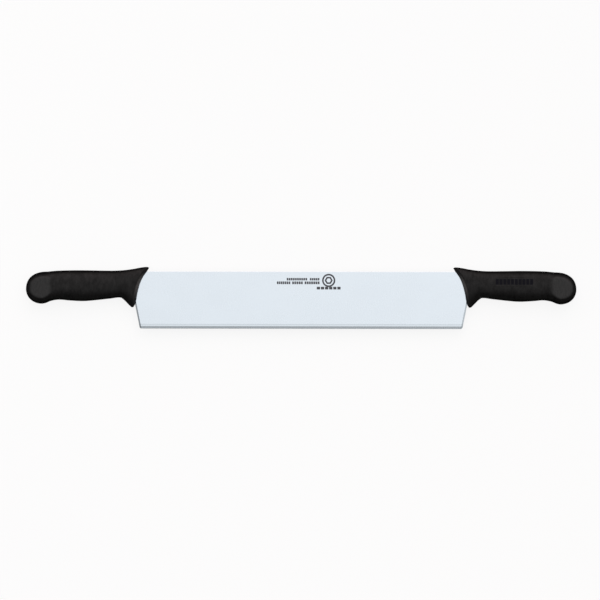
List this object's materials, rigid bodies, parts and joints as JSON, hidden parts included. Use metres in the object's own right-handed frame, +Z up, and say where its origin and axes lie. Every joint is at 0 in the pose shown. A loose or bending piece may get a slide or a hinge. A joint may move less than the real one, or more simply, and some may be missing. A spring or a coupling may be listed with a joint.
{
  "type": "double-handled cheese knife",
  "caption": "Rigid double-handled cheese knife: a long straight stainless blade with a moulded black plastic handle at each end.",
  "frame": {"origin": "below the middle of the knife's bounding box, on the plane that both handles rest on when the knife lies on its side", "axes": "+X along the blade, +Y towards the spine, +Z up through the thickness"},
  "size_m": [0.6074, 0.068, 0.023],
  "materials": {
    "blade_steel": "fine satin stainless steel with a ground cutting edge",
    "handle_plastic": "fine-grained matte black moulded plastic"
  },
  "bodies": {
    "root": {"blade": "blade_steel", "handle_left": "handle_plastic", "handle_right": "handle_plastic"}
  },
  "joints": []
}
